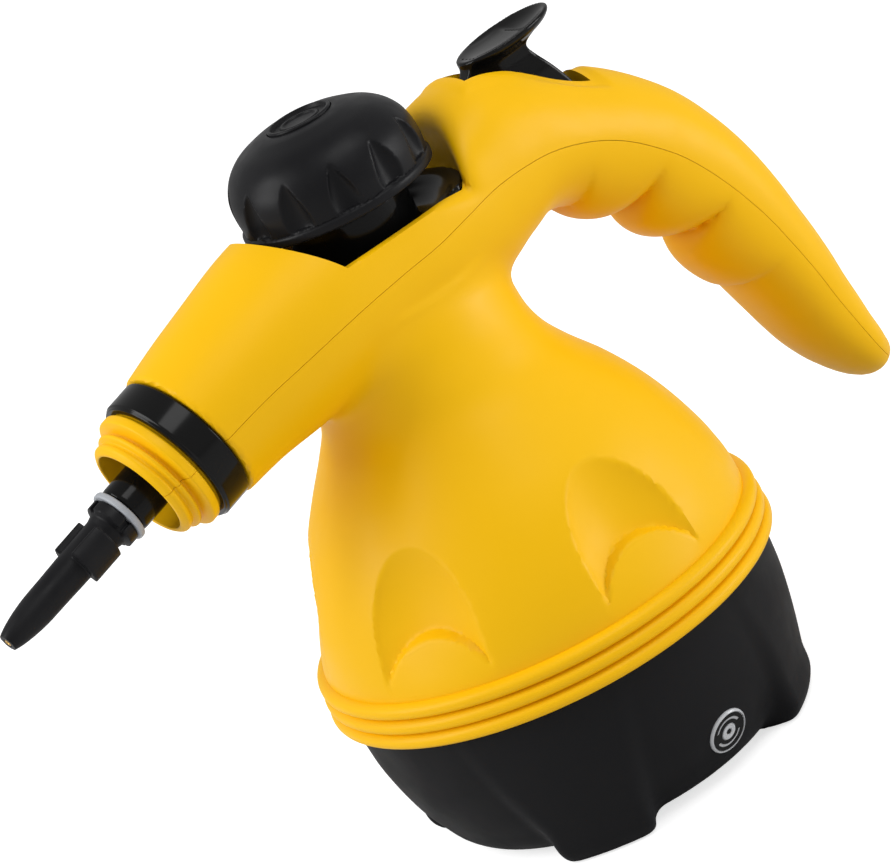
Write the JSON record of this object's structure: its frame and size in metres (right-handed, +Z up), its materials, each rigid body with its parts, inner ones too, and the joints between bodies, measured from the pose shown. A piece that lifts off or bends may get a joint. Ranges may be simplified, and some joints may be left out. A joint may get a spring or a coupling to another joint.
{
  "type": "handheld steam cleaner",
  "caption": "Handheld pressure steam cleaner with a bell-shaped pot on a footed base, a jet nozzle, a press-and-turn filler cap and a curved grip with a thumb trigger.",
  "frame": {"origin": "centre of the bounding box at the floor under the feet", "axes": "+X towards the grip, -X towards the nozzle, +Z up"},
  "size_m": [0.295, 0.1438, 0.2181],
  "materials": {
    "yellow_shell": "satin",
    "black_shell": "satin",
    "gloss_black": "gloss",
    "grey_rubber": "matt",
    "black_rubber": "matt",
    "red_silicone": "matt",
    "cast_boiler": "cast",
    "plain_steel": "plain",
    "turned_brass": "turned",
    "clear_lens": "clear",
    "white_nylon": "matt",
    "silver_wrap": "foil"
  },
  "bodies": {
    "housing": {"lower_housing": "yellow_shell", "upper_housing": "yellow_shell", "base_shell": "black_shell", "nozzle_collar": "gloss_black", "outlet_tube": "gloss_black", "nozzle_seal": "grey_rubber", "jet_nozzle": "black_shell", "nozzle_tip": "turned_brass", "boiler_lower": "cast_boiler", "boiler_upper": "cast_boiler", "boiler_gasket": "red_silicone", "mounting_ring": "plain_steel", "filler_neck": "cast_boiler", "boiler_bolt_1": "plain_steel", "boiler_bolt_2": "plain_steel", "boiler_bolt_3": "plain_steel", "boiler_bolt_4": "plain_steel", "boiler_bolt_5": "plain_steel", "boiler_bolt_6": "plain_steel", "heating_element": "plain_steel", "thermostat": "white_nylon", "thermal_fuse": "silver_wrap", "well_liner": "black_shell", "trigger_pin": "plain_steel", "steam_valve": "turned_brass", "valve_spring": "plain_steel", "trigger_spring": "plain_steel", "steam_feed_pipe": "plain_steel", "steam_delivery_pipe": "plain_steel", "base_screw_1": "plain_steel", "base_screw_2": "plain_steel", "base_screw_3": "plain_steel", "base_screw_4": "plain_steel", "housing_screw_1": "plain_steel", "housing_screw_2": "plain_steel", "indicator_lens": "clear_lens", "indicator_lamp": "white_nylon", "cord_gland": "black_rubber", "terminal_block": "white_nylon"},
    "trigger": {"trigger": "gloss_black"},
    "valve_pin": {"valve_pin": "plain_steel"},
    "cap_carrier": {"cap_seal": "red_silicone"},
    "cap_plug": {"cap_plug": "black_shell", "cap_spring": "plain_steel", "relief_retainer": "plain_steel", "relief_spring": "plain_steel"},
    "cap_shell": {"cap_shell": "black_shell", "cap_badge": "black_shell"},
    "relief_poppet": {"relief_poppet": "red_silicone"}
  },
  "joints": [
    {"name": "trigger_press", "type": "hinge", "parent": "housing", "child": "trigger", "pos_m": [0.05408, 0, 0.194], "axis": [0, 1, 0], "range_deg": [0, 8.4]},
    {"name": "valve_slide", "type": "slide", "parent": "housing", "child": "valve_pin", "axis": [0, 0, -1], "range_m": [0, 0.0038], "stiffness_N_per_m": 200, "springref_m": -0.001, "deforming": ["trigger_spring", "valve_spring"]},
    {"name": "cap_lift", "type": "slide", "parent": "housing", "child": "cap_carrier", "axis": [0, 0, 1], "range_m": [0, 0.008]},
    {"name": "cap_turn", "type": "hinge", "parent": "cap_carrier", "child": "cap_plug", "pos_m": [0.00408, 0, 0.187], "axis": [0, 0, 1], "range_deg": [0, 725]},
    {"name": "cap_press", "type": "slide", "parent": "cap_plug", "child": "cap_shell", "axis": [0, 0, -1], "range_m": [0, 0.003], "stiffness_N_per_m": 500, "springref_m": -0.004, "deforming": ["cap_spring"]},
    {"name": "relief_lift", "type": "slide", "parent": "cap_plug", "child": "relief_poppet", "axis": [0, 0, 1], "range_m": [0, 0.0015], "stiffness_N_per_m": 400, "springref_m": -0.004, "deforming": ["relief_spring"]}
  ],
  "couplings": [
    {"joint": "trigger_press", "follows": "valve_slide", "rad_per_m": 36.744},
    {"joint": "cap_turn", "follows": "cap_lift", "rad_per_m": 1570.8}
  ]
}
